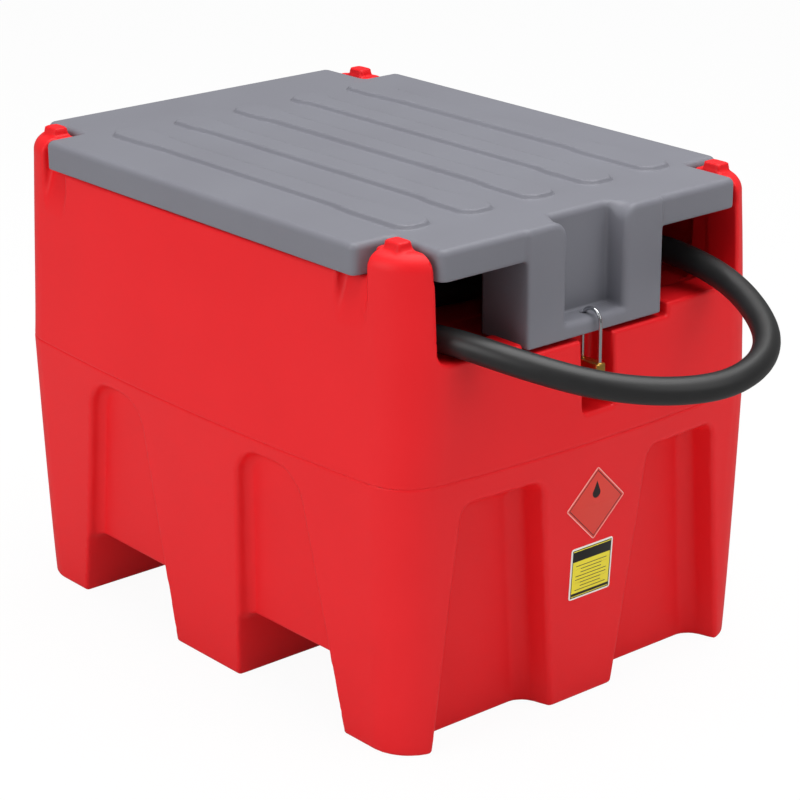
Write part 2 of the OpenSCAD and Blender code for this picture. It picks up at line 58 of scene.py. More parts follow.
def makeCamera(spec):
    data = bpy.data.cameras.new("camera")
    data.lens, data.sensor_width = spec["lens"], spec["sensor"]
    data.clip_start, data.clip_end = 0.05, 60
    camera = bpy.data.objects.new("camera", data)
    scene.collection.objects.link(camera)
    yaw, pitch, roll = (math.radians(spec[k]) for k in ("yaw", "pitch", "roll"))
    turn = Matrix.Rotation(-yaw, 3, "Z") @ Matrix.Rotation(math.pi / 2 - pitch, 3,
                                                           "X") @ Matrix.Rotation(-roll, 3, "Z")
    camera.matrix_world = Matrix.Translation(Vector(spec["place"]) * mm) @ turn.to_4x4()
    scene.camera = camera


makeCamera(view)


# A mesh object from points in millimetres and faces of any number of corners
def makePiece(name, points, faces, normals=None):
    mesh = bpy.data.meshes.new(name)
    mesh.from_pydata((np.asarray(points, float) * mm).tolist(), [], [list(f) for f in faces])
    mesh.validate()
    mesh.polygons.foreach_set("use_smooth", np.ones(len(mesh.polygons), bool))
    if normals is not None:
        mesh.normals_split_custom_set_from_vertices(normals.tolist())
    piece = bpy.data.objects.new(name, mesh)
    scene.collection.objects.link(piece)
    return piece


# Faces of a grid of rows by columns; the columns close into a ring when closed is true
def gridFaces(rows, columns, closed=True):
    r, c = np.meshgrid(np.arange(rows - 1), np.arange(columns if closed else columns - 1), indexing="ij")
    n = (c + 1) % columns
    return np.stack([r * columns + c, r * columns + n, (r + 1) * columns + n, (r + 1) * columns + c],
                    -1).reshape(-1, 4)


# Rings of equal size joined into a tube, with a flat face over each end
def ringPiece(name, rings, capped=True):
    rings = np.asarray(rings, float)
    rows, columns = rings.shape[:2]
    faces = gridFaces(rows, columns).tolist()
    if capped:
        faces.append(list(range(columns))[::-1])
        faces.append([(rows - 1) * columns + i for i in range(columns)])
    return makePiece(name, rings.reshape(-1, 3), faces)


def joinPieces(name, pieces):
    bpy.ops.object.select_all(action="DESELECT")
    for piece in pieces:
        piece.select_set(True)
    bpy.context.view_layer.objects.active = pieces[0]
    if len(pieces) > 1:
        bpy.ops.object.join()
    pieces[0].name = name
    pieces[0].data.name = name
    return pieces[0]


def fixNormals(piece):
    bm = bmesh.new()
    bm.from_mesh(piece.data)
    bmesh.ops.remove_doubles(bm, verts=bm.verts, dist=0.02 * mm)
    bmesh.ops.recalc_face_normals(bm, faces=bm.faces)
    bm.to_mesh(piece.data)
    bm.free()
    return piece


# Sharp edges past an angle are split in the shading only
def sharpen(piece, degrees=35):
    bm = bmesh.new()
    bm.from_mesh(piece.data)
    for edge in bm.edges:
        edge.smooth = len(edge.link_faces) == 2 and edge.calc_face_angle(0) < math.radians(degrees)
    bm.to_mesh(piece.data)
    bm.free()
    return piece


def dress(piece, material, body, slotName, *replaced):
    piece.data.materials.clear()
    piece.data.materials.append(material)
    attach(piece, body)
    if replaced:
        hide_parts(*replaced)
    return piece


def dressNode(name, material):
    data = nodes[name].data
    data.materials.clear()
    data.materials.append(material)


# Materials. One function adds a node with its settings and its links
def addNode(tree, kind, settings=None, links=None):
    node = tree.nodes.new(kind)
    for key, value in (settings or {}).items():
        setattr(node, key, value)
    for key, value in (links or {}).items():
        if isinstance(value, bpy.types.NodeSocket):
            tree.links.new(value, node.inputs[key])
        else:
            node.inputs[key].default_value = value
    return node


def newMaterial(name):
    material = bpy.data.materials.new(name)
    material.use_nodes = True
    tree = material.node_tree
    tree.nodes.clear()
    place = addNode(tree, "ShaderNodeTexCoord").outputs["Object"]
    return material, tree, place


def closeMaterial(tree, shader):
    addNode(tree, "ShaderNodeOutputMaterial", links={"Surface": shader})


# Rotomoulded polyethylene: a satin waxy skin with a faint pebble from the mould and a soft drift in colour
def rotomouldedPolyethylene(name, look):
    material, tree, place = newMaterial(name)
    drift = addNode(tree, "ShaderNodeTexNoise",
                    links={"Vector": place, "Scale": 1 / (look["drift"] * mm), "Detail": 2.0})
    pebble = addNode(tree, "ShaderNodeTexNoise", links={"Vector": place, "Scale": 1 / (look["pebble"] * mm),
                                                       "Detail": 2.0, "Roughness": 0.6})
    colour = addNode(tree, "ShaderNodeMix", {"data_type": "RGBA"},
                     {"Factor": drift.outputs["Fac"], 6: linear(look["dark"]), 7: linear(look["light"])})
    satin = addNode(tree, "ShaderNodeMapRange",
                    links={"Value": drift.outputs["Fac"], "To Min": look["rough"] - 0.04,
                                                      "To Max": look["rough"] + 0.04})
    bump = addNode(tree, "ShaderNodeBump", links={"Height": pebble.outputs["Fac"], "Strength": look["bump"],
                                                 "Distance": 0.25 * mm})
    shader = addNode(tree, "ShaderNodeBsdfPrincipled",
                     links={"Base Color": colour.outputs[2], "Roughness": satin.outputs["Result"],
                            "IOR": 1.51, "Specular IOR Level": 0.26, "Normal": bump.outputs["Normal"]})
    closeMaterial(tree, shader.outputs["BSDF"])
    return material


# Extruded rubber hose: nearly black, a broad dull highlight, fine talc bloom
def extrudedRubber(name):
    material, tree, place = newMaterial(name)
    bloom = addNode(tree, "ShaderNodeTexNoise",
                    links={"Vector": place, "Scale": 1 / (26 * mm), "Detail": 4.0})
    grain = addNode(tree, "ShaderNodeTexNoise",
                    links={"Vector": place, "Scale": 1 / (1.1 * mm), "Detail": 2.0})
    colour = addNode(tree, "ShaderNodeMix", {"data_type": "RGBA"},
                     {"Factor": bloom.outputs["Fac"], 6: linear("#191919"), 7: linear("#232324")})
    rough = addNode(tree, "ShaderNodeMapRange",
                    links={"Value": bloom.outputs["Fac"], "To Min": 0.36, "To Max": 0.50})
    bump = addNode(tree, "ShaderNodeBump",
                   links={"Height": grain.outputs["Fac"], "Strength": 0.12, "Distance": 0.2 * mm})
    shader = addNode(tree, "ShaderNodeBsdfPrincipled",
                     links={"Base Color": colour.outputs[2], "Roughness": rough.outputs["Result"],
                            "IOR": 1.52, "Normal": bump.outputs["Normal"]})
    closeMaterial(tree, shader.outputs["BSDF"])
    return material


# Metal: its colour, a roughness that drifts, and fine marks drawn out along one way
def workedMetal(name, look):
    material, tree, place = newMaterial(name)
    drawn = addNode(tree, "ShaderNodeMapping", links={"Vector": place, "Scale": look["stretch"]})
    marks = addNode(tree, "ShaderNodeTexNoise", links={"Vector": drawn.outputs["Vector"],
                                                      "Scale": 1 / (look["mark"] * mm), "Detail": 3.0})
    colour = addNode(tree, "ShaderNodeMix", {"data_type": "RGBA"},
                     {"Factor": marks.outputs["Fac"], 6: linear(look["dark"]), 7: linear(look["light"])})
    rough = addNode(tree, "ShaderNodeMapRange",
                    links={"Value": marks.outputs["Fac"], "To Min": look["rough"][0],
                                                      "To Max": look["rough"][1]})
    bump = addNode(tree, "ShaderNodeBump", links={"Height": marks.outputs["Fac"], "Strength": look["bump"],
                                                 "Distance": 0.1 * mm})
    shader = addNode(tree, "ShaderNodeBsdfPrincipled",
                     links={"Base Color": colour.outputs[2], "Roughness": rough.outputs["Result"],
                            "Metallic": look["metal"], "Normal": bump.outputs["Normal"]})
    closeMaterial(tree, shader.outputs["BSDF"])
    return material


redSkin = rotomouldedPolyethylene("red_rotomoulded_polyethylene", {
    "dark": "#DF1119", "light": "#E8171F", "drift": 120, "pebble": 1.6, "rough": 0.46, "bump": 0.22})
greySkin = rotomouldedPolyethylene("grey_rotomoulded_polyethylene", {
    "dark": "#75757D", "light": "#7A7B83", "drift": 120, "pebble": 1.6, "rough": 0.44, "bump": 0.22})
blackMoulded = rotomouldedPolyethylene("black_moulded_polypropylene", {
    "dark": "#1B1B1C", "light": "#222223", "drift": 30, "pebble": 0.9, "rough": 0.42, "bump": 0.3})
rubber = extrudedRubber("extruded_black_rubber")
# Steel wire, hardened and polished: bright with faint lengthwise marks
polishedSteel = workedMetal("polished_hardened_steel", {
    "dark": "#B4B6BA", "light": "#D9DBDE", "mark": 2, "stretch": (1, 1, 0.15), "rough": (0.10, 0.24),
    "bump": 0.05, "metal": 1.0})
# Extruded brass with brushed faces: warm yellow, a streaky satin
brushedBrass = workedMetal("brushed_brass", {
    "dark": "#B98A35", "light": "#DDB768", "mark": 1.2, "stretch": (1, 1, 0.12), "rough": (0.24, 0.42),
    "bump": 0.25, "metal": 1.0})
# Pressed steel with zinc plating: pale, slightly blotched
zincPlatedSteel = workedMetal("zinc_plated_steel", {
    "dark": "#9EA1A4", "light": "#C6C8CA", "mark": 5, "stretch": (1, 1, 1), "rough": (0.30, 0.48),
    "bump": 0.12, "metal": 1.0})
# Cast iron under dark paint: a coarse sand-cast grain shows through the gloss
paintedCastIron = workedMetal("painted_cast_iron", {
    "dark": "#2E3033", "light": "#3B3D41", "mark": 1.8, "stretch": (1, 1, 1), "rough": (0.34, 0.52),
    "bump": 0.8, "metal": 0.0})
# Turned aluminium: fine rings round the spout
turnedAluminium = workedMetal("turned_aluminium", {
    "dark": "#B9BBBD", "light": "#D8D9DA", "mark": 1.0, "stretch": (0.1, 1, 0.1), "rough": (0.26, 0.40),
    "bump": 0.2, "metal": 1.0})
print("materials made")


# Delivery hose: the route's points, the same as the fixed model's, in metres
hose = {"diameter": 0.031, "sides": 32, "step": 0.008, "route": [
    (.075, -.085, .502), (.118, -.076, .498), (.150, -.042, .487), (.165, .015, .473), (.165, .080, .469),
    (.150, .140, .469), (.105, .187, .469), (.045, .205, .469), (-.040, .205, .469), (-.100, .188, .469),
    (-.148, .145, .469), (-.165, .085, .469), (-.165, -.060, .469), (-.150, -.120, .469),
    (-.105, -.170, .469),
    (-.045, -.192, .469), (.025, -.198, .473), (.090, -.212, .483), (.145, -.246, .497), (.173, -.300, .504),
    (.179, -.365, .498), (.167, -.435, .488), (.137, -.503, .473), (.105, -.543, .461), (.063, -.567, .451),
    (.007, -.573, .444), (-.060, -.552, .446), (-.124, -.509, .457), (-.173, -.443, .474),
    (-.202, -.368, .486),
    (-.218, -.285, .482), (-.235, -.080, .468), (-.235, .200, .468), (-.222, .262, .468),
    (-.185, .305, .468),
    (-.130, .325, .468), (.100, .325, .468), (.170, .306, .469), (.213, .250, .473), (.225, .060, .478)]}


# Cubic curve through the points: each stretch is a Hermite cubic whose end slopes come from the
# neighbours, weighed by the square root of the spacing, then sampled and evened by moving each sample to
# its neighbours' mean
def smoothPath(route, step):
    p = np.array(route, float)
    gap = np.sqrt(np.linalg.norm(np.diff(p, axis=0), axis=1))
    t = np.concatenate([[0], np.cumsum(gap)])
    slope = np.gradient(p, t, axis=0)
    samples = []
    for i in range(len(p) - 1):
        u = np.linspace(0, 1, 24, endpoint=False)[:, None]
        h = t[i + 1] - t[i]
        samples.append((2 * u**3 - 3 * u**2 + 1) * p[i] + (u**3 - 2 * u**2 + u) * h * slope[i]
                       + (3 * u**2 - 2 * u**3) * p[i + 1] + (u**3 - u**2) * h * slope[i + 1])
    path = np.concatenate(samples + [p[-1:]])
    for turn in range(60):
        path[3:-3] += 0.5 * (0.5 * (path[2:-4] + path[4:-2]) - path[3:-3])
    along = np.concatenate([[0], np.cumsum(np.linalg.norm(np.diff(path, axis=0), axis=1))])
    at = np.linspace(0, along[-1], int(round(along[-1] / step)) + 1)
    return np.stack([np.interp(at, along, path[:, k]) for k in range(3)], 1), along[-1]


# Circle of a given radius carried along a path: point = path + r(cos a side + sin a rise),
# the two cross directions taken from the path's tangent and the world's up
def tubeRings(path, radius, sides, up=(0, 0, 1)):
    tangent = np.gradient(path, axis=0)
    tangent /= np.linalg.norm(tangent, axis=1, keepdims=True)
    side = np.cross(tangent, np.array(up, float))
    side /= np.linalg.norm(side, axis=1, keepdims=True)
    rise = np.cross(side, tangent)
    a = np.linspace(0, 2 * np.pi, sides, endpoint=False)
    r = np.broadcast_to(np.asarray(radius, float), (len(path),))[:, None, None]
    return path[:, None] + r * (np.cos(a)[None, :, None] * side[:, None] + np.sin(a)[None, :, None]
                                * rise[:, None])


hosePath, hoseLength = smoothPath(hose["route"], hose["step"])
hosePiece = fixNormals(ringPiece("delivery_hose",
                                 tubeRings(hosePath, hose["diameter"] / 2, hose["sides"]) / mm))
dress(hosePiece, rubber, "tank", "hose_rubber", "hose")
print("hose:", round(float(hoseLength), 3), "m")


# Moulded shells are level surfaces: a function says how far a point lies from the skin, less than 0 inside.
# Rounded meeting of two solids: the larger distance, with a quarter circle of radius r where both near 0
def within(a, b, r):
    return np.minimum(-r, np.maximum(a, b)) + np.hypot(np.maximum(r + a, 0), np.maximum(r + b, 0))


# Rounded joining of two solids: the smaller distance, with a fillet of radius r
def joined(a, b, r):
    return -within(-a, -b, r)


# Distance to a rectangle with round corners: length of the part past the corner's centre, less r
def roundedBox(x, y, halfX, halfY, r):
    qx, qy = np.abs(x) - halfX + r, np.abs(y) - halfY + r
    return np.hypot(np.maximum(qx, 0), np.maximum(qy, 0)) + np.minimum(np.maximum(qx, qy), 0) - r


# 0 before a, 1 after b, with a smooth cubic between
def ease(x, a, b):
    t = np.clip((x - a) / (b - a), 0, 1)
    return t * t * (3 - 2 * t)


tank = {
    "seam": (299, 392.5, 330), "base": (275.5, 370), "rim": (282, 378.5, 558), "corner": (55, 64),
    "bulge": (14, 8.5),
    "footEdge": 5, "groove": 0.9, "grooveWidth": 1.0,
    "runnerMid": 65, "runnerEnd": 262, "midFlare": 0.104, "endFlare": 0.187, "belly": 85,
    "sideTop": 312, "sideDepth": 17, "sideRound": 38,
    "endFrom": 50, "endTo": 232, "endTaper": 0.112, "endTop": 300, "endDepth": 40, "endRound": 16,
    "draft": 0.3,
    "wall": (25, 52, 30), "deck": 452, "sill": 467, "notch": (113, 452), "slot": (25, 366, 348.5),
    "post": (232, 302.5, 590), "lug": (245, 328.5, 9.5, 12.5, 600), "dome": 19,
    "scoop": (288, 24, 512, 13), "mouthBack": 240, "lugFoot": 560, "lugFlare": 0.12,
    "rounds": {"side": 9, "tunnel": 9, "sideTunnel": 5, "end": 16, "cut": 4.5, "bay": 14, "bayPost": 5,
               "bayFoot": 10,
               "mouth": 14, "mouthBay": 5, "notch": 3, "slotFoot": 6, "slotBack": 5, "rimPost": 5, "rim": 4,
               "opening": 4, "scoop": 7, "scoopEdge": 4, "lug": 4, "lugTop": 2.2, "lugRoot": 3}}


# Half width and half length at a height, straight from ground to seam and from seam to rim, and how far
# the walls bulge in their middle: most at the seam, 0 at the ground
def halves(z, t=tank):
    low = np.clip(z / t["seam"][2], 0, 1)
    high = np.clip((z - t["seam"][2]) / (t["rim"][2] - t["seam"][2]), 0, 1.2)
    x = t["base"][0] + (t["seam"][0] - t["base"][0]) * low + (t["rim"][0] - t["seam"][0]) * high
    y = t["base"][1] + (t["seam"][1] - t["base"][1]) * low + (t["rim"][1] - t["seam"][1]) * high
    full = t["bulge"][0] * low ** 1.15
    corner = t["corner"][0] + (t["corner"][1] - t["corner"][0]) * np.minimum(high, 1) ** 0.5
    return x, y, full - t["bulge"][1] * high ** 1.8, full * (1 - np.minimum(high, 1)) ** 2, corner


# Leaning arch: between two slanted sides and under a top, with round upper corners
def arch(u, z, u0, lean0, u1, lean1, top, r):
    return within(np.maximum(u0 + lean0 * z - u, u - u1 + lean1 * z), z - top, r)


# The tank: a tapered box with round corners, less tunnels, recesses, bay, mouths and slot, with four
# domed posts
def tankSkin(x, y, z, t=tank):
    r = t["rounds"]
    ax, ay = np.abs(x), np.abs(y)
    halfX, halfY, bulgeX, bulgeY, corner = halves(z)
    outX = ax + bulgeX * np.minimum(ay / (halfY - corner), 1) ** 2
    outY = ay + bulgeY * np.minimum(ax / (halfX - corner), 1) ** 2
    outside = roundedBox(outX, outY, halfX, halfY, corner)
    outside = outside + t["groove"] * np.exp(-((z - t["seam"][2]) / t["grooveWidth"]) ** 2)
    sideArch = arch(ay, z, t["runnerMid"], t["midFlare"], t["runnerEnd"], t["endFlare"], t["sideTop"],
                    t["sideRound"])
    sideCut = within(sideArch + t["draft"] * (halfX - outX), halfX - t["sideDepth"] - outX, r["side"])
    tunnel = within(np.maximum(t["runnerMid"] + t["midFlare"] * z - ay,
                               ay - t["runnerEnd"] + t["endFlare"] * z),
                    z - t["belly"] + 0 * ax, r["tunnel"])
    endArch = arch(ax, z, t["endFrom"], t["endTaper"], t["endTo"], t["endTaper"], t["endTop"], t["endRound"])
    endCut = within(endArch + t["draft"] * (halfY - outY), halfY - t["endDepth"] - outY, r["end"])
    cuts = np.minimum(joined(sideCut, tunnel, r["sideTunnel"]), endCut)
    body = within(within(outside, -z, t["footEdge"]), -cuts, r["cut"])

    postX, postY, postTop = t["post"]
    atPost = np.maximum(postX - ax, postY - ay)
    wallX, wallFront, wallRear = t["wall"]
    bay = within(ax - halfX + wallX, np.maximum(wallFront - halfY - y, y - halfY + wallRear), r["bay"])
    bay = within(bay, -atPost, r["bayPost"])
    bay = within(bay, t["deck"] - z, r["bayFoot"])
    mouth = np.maximum(within(ax - postX, t["sill"] - z, r["mouth"]), y + t["mouthBack"])
    notch = np.maximum(within(ax - t["notch"][0], t["notch"][1] - z, r["notch"]), y + t["mouthBack"])
    slotX, slotLow, slotBack = t["slot"]
    slot = within(within(ax - slotX + 0 * z, slotLow - z, r["slotFoot"]), y + slotBack, r["slotBack"])
    opening = np.minimum(joined(joined(bay, mouth, r["mouthBay"]), notch, r["notch"]), slot)
    body = within(body, z - postTop, t["dome"])
    body = within(body, -within(t["rim"][2] - z, -atPost, r["rimPost"]), r["rim"])
    body = within(body, -opening, r["opening"])

    scoopY, scoopHalf, scoopLow, scoopDeep = t["scoop"]
    slope = (z - scoopLow) * scoopDeep / (t["rim"][2] - scoopLow)
    scoop = within(np.abs(ay - scoopY) - scoopHalf + 0 * x, halfX - slope - outX, r["scoop"])
    body = within(body, -scoop, r["scoopEdge"])
    lugX, lugY, lugHalfX, lugHalfY, lugTop = t["lug"]
    flare = t["lugFlare"] * (lugTop - z)
    lug = within(roundedBox(ax - lugX, ay - lugY, lugHalfX + flare, lugHalfY + flare, r["lug"]),
                 np.maximum(z - lugTop, t["lugFoot"] - z), r["lugTop"])
    return joined(body, lug, r["lugRoot"])


# Grid lines for a list of stretches, each from, to and step
def gridLines(stretches):
    parts = [np.linspace(a, b, max(1, int(round((b - a) / step))), endpoint=False) for a, b,
             step in stretches]
    return np.concatenate(parts + [[stretches[-1][1]]])


# Points and faces of a level surface: in every grid cell that it passes through one point at the mean of
# its crossings with the cell's edges, moved onto the surface along the slope; round every grid edge that
# it crosses one face. Cells whose middle lies on a plane in still keep that coordinate, so that pieces
# can part there
def levelSurface(field, xs, ys, zs, still=()):
    lines = (xs, ys, zs)
    value = field(xs[:, None, None], ys[None, :, None], zs[None, None, :]).astype(np.float32)
    inside = value < 0
    count = np.zeros([n - 1 for n in inside.shape], np.int8)
    corners = [(i, j, k) for i in (0, 1) for j in (0, 1) for k in (0, 1)]
    for i, j, k in corners:
        count += inside[i:i + count.shape[0], j:j + count.shape[1], k:k + count.shape[2]]
    cells = np.argwhere((count > 0) & (count < 8))
    number = np.full(count.shape, -1, np.int64)
    number[tuple(cells.T)] = np.arange(len(cells))
    total, hits = np.zeros((len(cells), 3)), np.zeros(len(cells))
    for axis in range(3):
        for start in [c for c in corners if c[axis] == 0]:
            a = cells + start
            b = a.copy()
            b[:, axis] += 1
            fa, fb = value[tuple(a.T)].astype(float), value[tuple(b.T)].astype(float)
            cross = (fa < 0) != (fb < 0)
            share = np.where(cross, fa / np.where(cross, fa - fb, 1), 0)
            pa = np.stack([lines[m][a[:, m]] for m in range(3)], 1)
            pb = np.stack([lines[m][b[:, m]] for m in range(3)], 1)
            total += np.where(cross[:, None], pa + share[:, None] * (pb - pa), 0)
            hits += cross
    points = total / hits[:, None]
    low = np.stack([lines[m][cells[:, m]] for m in range(3)], 1)
    high = np.stack([lines[m][cells[:, m] + 1] for m in range(3)], 1)
    free = np.ones_like(points)
    for axis, plane in still:
        there = np.abs((low[:, axis] + high[:, axis]) / 2 - plane) < 1e-6
        points[there, axis] = plane
        free[there, axis] = 0

    def slopes(p, h=0.15):
        return np.stack([(field(*(p + h * e).T) - field(*(p - h * e).T)) / (2 * h) for e in np.eye(3)], 1)

    for turn in range(4):
        g = slopes(points) * free
        move = field(*points.T)[:, None] * g / np.maximum((g ** 2).sum(1, keepdims=True), 0.2)
        points = np.clip(points - np.clip(move, -2, 2), low, high)
    normals = slopes(points)
    normals /= np.maximum(np.linalg.norm(normals, axis=1, keepdims=True), 1e-9)

    faces = []
    for axis in range(3):
        u, v = (axis + 1) % 3, (axis + 2) % 3
        first = [slice(None)] * 3
        second = [slice(None)] * 3
        first[axis], second[axis] = slice(0, -1), slice(1, None)
        for m in (u, v):
            first[m] = second[m] = slice(1, -1)
        a, b = inside[tuple(first)], inside[tuple(second)]
        for flip in (False, True):
            at = np.argwhere(a & ~b if not flip else ~a & b)
            at[:, u] += 1
            at[:, v] += 1
            ring = []
            for du, dv in ((-1, -1), (0, -1), (0, 0), (-1, 0)):
                c = at.copy()
                c[:, u] += du
                c[:, v] += dv
                ring.append(number[tuple(c.T)])
            ring = np.stack(ring, 1)
            faces.append(ring[:, ::-1] if flip else ring)
    return points, np.concatenate(faces), normals


# A piece of a level surface: the faces chosen, with a flat face over each cut. A rim that runs over two
# planes is parted where they meet
def surfacePart(name, points, faces, normals, chosen, still):
    used, place = np.unique(faces[chosen], return_inverse=True)
    part = place.reshape(-1, 4)
    edges = np.stack([part, np.roll(part, -1, 1)], -1).reshape(-1, 2)
    code = edges[:, 0] * len(used) + edges[:, 1]
    back = edges[:, 1] * len(used) + edges[:, 0]
    rim = edges[~np.isin(code, back)]
    follow = {int(b): int(a) for a, b in rim}
    caps = []
    while follow:
        start, now = next(iter(follow.items()))
        del follow[start]
        loop = [start]
        while now != start and now in follow:
            loop.append(now)
            now = follow.pop(now)
        bends = [i for i, p in enumerate(loop) if len(still) > 1 and all(
            abs(points[used[p], axis] - plane) < 1e-6 for axis, plane in still)]
        if len(bends) == 2:
            caps += [loop[bends[0]:bends[1] + 1], loop[bends[1]:] + loop[:bends[0] + 1]]
        else:
            caps.append(loop)
    piece = makePiece(name, points[used], part.tolist() + caps, normals[used])
    print(name, len(part), "faces,", len(caps), "caps")
    return piece


bodyLines = {
    "x": [(-303, -1.8, 3.7), (-1.8, 1.8, 3.6), (1.8, 303, 3.7)],
    "y": [(-396, -1.8, 3.7), (-1.8, 1.8, 3.6), (1.8, 396, 3.7)],
    "z": [(-2.5, 2.5, 2.5), (2.5, 328.4, 3.7), (328.4, 331.6, 0.4), (331.6, 444, 3.7), (444, 480, 3),
          (480, 603, 3.2)]}
lines = {k: gridLines(v) for k, v in bodyLines.items()}
seam = tank["seam"][2]
cuts = ((2, seam), (1, 0))
points, faces, normals = levelSurface(tankSkin, lines["x"], lines["y"], lines["z"], cuts)
middle = points[faces].mean(1)
below, front = middle[:, 2] < seam, middle[:, 1] < 0
shells = {
    "lower_tank_front": (below & front, ("front_runner", "middle_runner", "tank_bottom", "lower_front_wall",
                                         "lower_left_wall")),
    "lower_tank_rear": (below & ~front, ("rear_runner", "lower_rear_wall", "lower_right_wall")),
    "upper_tank_front": (~below & front,
                         ("front_wall", "front_left_post", "front_right_post", "bay_floor", "left_wall")),
    "upper_tank_rear": (~below & ~front, ("rear_wall", "rear_left_post", "rear_right_post", "right_wall"))}
for name, (chosen, replaced) in shells.items():
    dress(surfacePart(name, points, faces, normals, chosen, cuts), redSkin, "tank", "tank_polyethylene",
          *replaced)
print("tank shells made")


lid = {
    "half": (282, 378.5), "notch": (227, 297.5), "top": 594, "under": 586, "foot": 558.3, "skirt": 14,
    "edge": 8, "cornerRound": 10, "ribs": 5, "ribPitch": 93, "ribHalf": 18.5, "ribEnd": 4.5,
    "ribFrom": -295, "ribTo": 267,
    "ribHeight": 5, "bends": [(150, 218, -160, -205), (185, 225, -200, -235), (175, 215, -190, -235),
                              (218, 240, -190, -230), (140, 220, -150, -190)],
    "tongue": (104, -381.5, -303.5, 457), "pocket": (45, -349.5, 475), "hole": (4.5, -360.5, 500),
    "rounds": {"plan": 12, "notch": 6, "hollow": 5, "foot": 2.5, "lip": 2, "tongue": 3.5, "tongueFoot": 2,
               "root": 4,
               "pocket": 4, "pocketFoot": 2.5, "pocketBack": 8, "pocketSides": 11, "hole": 0.8}}


# Height of the ribs over the lid: each a long rounded tongue, a little wider at its ends
def ribHeight(x, y, t=lid):
    height = 0
    for i in range(t["ribs"]):
        rearFrom, rearTo, frontFrom, frontTo = t["bends"][i]
        wide = np.maximum(ease(y, rearFrom, rearTo), ease(-y, -frontFrom, -frontTo))
        half = t["ribHalf"] + t["ribEnd"] * wide
        centre = (i - (t["ribs"] - 1) / 2) * t["ribPitch"]
        middleY, halfY = (t["ribFrom"] + t["ribTo"]) / 2, (t["ribTo"] - t["ribFrom"]) / 2
        edge = roundedBox(x - centre, y - middleY, half, halfY, 17)
        height = height + t["ribHeight"] * (1 - ease(edge, -3.2, 2.2))
    return height


# The lid: a plate with a skirt, notched round the posts, with ribs and a tongue that holds the padlock
# pocket
def lidSkin(x, y, z, t=lid):
    r = t["rounds"]
    ax, ay = np.abs(x), np.abs(y)
    outline = roundedBox(x, y, t["half"][0], t["half"][1], r["plan"])
    nearPost = within(t["notch"][0] - ax, t["notch"][1] - ay, r["notch"])
    outline = within(outline, -nearPost, t["cornerRound"])
    hollow = within(outline + t["skirt"], z - t["under"], r["hollow"])
    plate = within(within(outline, t["foot"] - z, r["foot"]), -hollow, r["lip"])
    half, tongueFront, tongueBack, tongueLow = t["tongue"]
    middleY, halfY = (tongueFront + tongueBack) / 2, (tongueBack - tongueFront) / 2
    tongue = within(roundedBox(x, y - middleY, half, halfY, r["tongue"]), tongueLow - z, r["tongueFoot"])
    solid = joined(plate, tongue, r["root"])
    pocketHalf, pocketBack, pocketLow = t["pocket"]
    reach = 2 * pocketHalf
    pocket = within(roundedBox(x, y - pocketBack + reach, pocketHalf, reach, r["pocket"]), pocketLow - z,
                    r["pocketFoot"])
    edge = r["pocketBack"] + r["pocketSides"] * ease(pocketBack - y, 0, 20)
    top = within(z - t["top"] - ribHeight(x, y), -pocket, edge)
    solid = within(solid, top, t["edge"])
    holeRadius, holeY, holeTop = t["hole"]
    hole = np.maximum(np.hypot(x, y - holeY) - holeRadius, z - holeTop)
    return within(solid, -hole, r["hole"])


lidLines = {
    "x": [(-286, -9, 3.3), (-9, 9, 1.4), (9, 286, 3.3)],
    "y": [(-386, -368, 3), (-368, -353, 1.4), (-353, -1.8, 3.3), (-1.8, 1.8, 3.6), (1.8, 382, 3.3)],
    "z": [(453, 466, 2.2), (466, 550, 4.2), (550, 584, 2.8), (584, 603, 1.7)]}
lines = {k: gridLines(v) for k, v in lidLines.items()}
cuts = ((1, 0),)
points, faces, normals = levelSurface(lidSkin, lines["x"], lines["y"], lines["z"], cuts)
front = points[faces].mean(1)[:, 1] < 0
dress(surfacePart("lid_front", points, faces, normals, front, cuts), greySkin, "lid", "lid_polyethylene",
      "lid_panel", "lid_tongue", "lid_rib_1", "lid_rib_2", "lid_rib_3")
dress(surfacePart("lid_rear", points, faces, normals, ~front, cuts), greySkin, "lid", "lid_polyethylene",
      "lid_skirt", "lid_rib_4", "lid_rib_5")
print("lid made")


# Turned piece: rings of radius r at a distance along the axis, the radius cut by flutes: r - depth
# cos^2(flutes a / 2)
def turned(name, profile, origin, axis, sides=48, flutes=0, depth=0, fluted=(0, 0)):
    along = np.array(axis, float)
    side = np.cross(along, (0, 0, 1)) if abs(along[2]) < 0.9 else np.array((1.0, 0, 0))
    side /= np.linalg.norm(side)
    rise = np.cross(along, side)
    a = np.linspace(0, 2 * np.pi, sides, endpoint=False)
    r, d = np.array(profile, float).T
    cut = ((d > fluted[0]) & (d < fluted[1]))[:, None] * depth * np.cos(flutes * a / 2)[None] ** 2
    ray = (r[:, None] - cut)[..., None]
    rings = (np.array(origin, float) + d[:, None, None] * along
             + ray * (np.cos(a)[None, :, None] * side + np.sin(a)[None, :, None] * rise))
    return sharpen(fixNormals(ringPiece(name, rings)))


# Outline pushed out of its plane, its edges drawn in by the bevel at both faces
def pushed(name, outline, origin, first, second, depth, bevel=0.8):
    o = np.array(outline, float)
    edge = np.roll(o, -1, 0) - o
    normal = np.stack([edge[:, 1], -edge[:, 0]], 1)
    normal /= np.linalg.norm(normal, axis=1, keepdims=True)
    normal = normal + np.roll(normal, 1, 0)
    normal /= np.maximum((normal ** 2).sum(1, keepdims=True) / 2, 0.5)
    first, second = np.array(first, float), np.array(second, float)
    out = np.cross(first, second)
    levels = ((0, bevel), (bevel * 0.3, bevel * 0.3), (bevel, 0), (depth - bevel, 0),
              (depth - bevel * 0.3, bevel * 0.3), (depth, bevel))
    rings = [np.array(origin) + (o - b * normal) @ np.stack([first, second]) + h * out for h, b in levels]
    return sharpen(fixNormals(ringPiece(name, rings)), 50)


